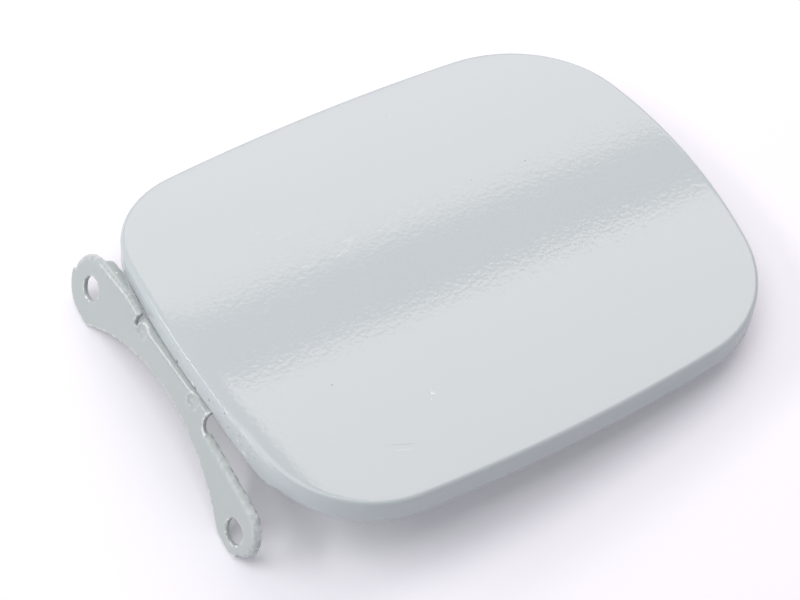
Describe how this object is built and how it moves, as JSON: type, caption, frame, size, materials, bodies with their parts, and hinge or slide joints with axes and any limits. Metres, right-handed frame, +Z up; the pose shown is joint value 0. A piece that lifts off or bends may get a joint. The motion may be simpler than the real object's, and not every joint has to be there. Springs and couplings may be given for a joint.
{
  "type": "fuel filler flap",
  "caption": "Rounded rectangular fuel filler flap of pressed steel in primer, with a crowned skin, a down-turned rim and a hinged two-ear fixing plate, opened to its stop.",
  "frame": {"origin": "middle of the two fixing holes, on the mounting face of the hinge plate", "axes": "+Z up with the opened flap standing on a table, +X from the hinge edge towards the latch edge, +Y towards the far ear"},
  "size_m": [0.1717, 0.13, 0.028],
  "materials": {
    "primer": "semi-gloss pale grey-green dip primer with orange peel"
  },
  "bodies": {
    "bracket": {"hinge_plate": "primer", "hinge_pin": "primer"},
    "door": {"outer_skin": "primer", "inner_panel": "primer", "hinge_leaf": "primer", "catch_plate": "primer"}
  },
  "joints": [
    {"name": "door_hinge", "type": "hinge", "parent": "bracket", "child": "door", "pos_m": [0.01249, 0.00231, 0.0053], "axis": [-0.0059, 0.9981, -0.0621], "range_deg": [0, 110]}
  ]
}
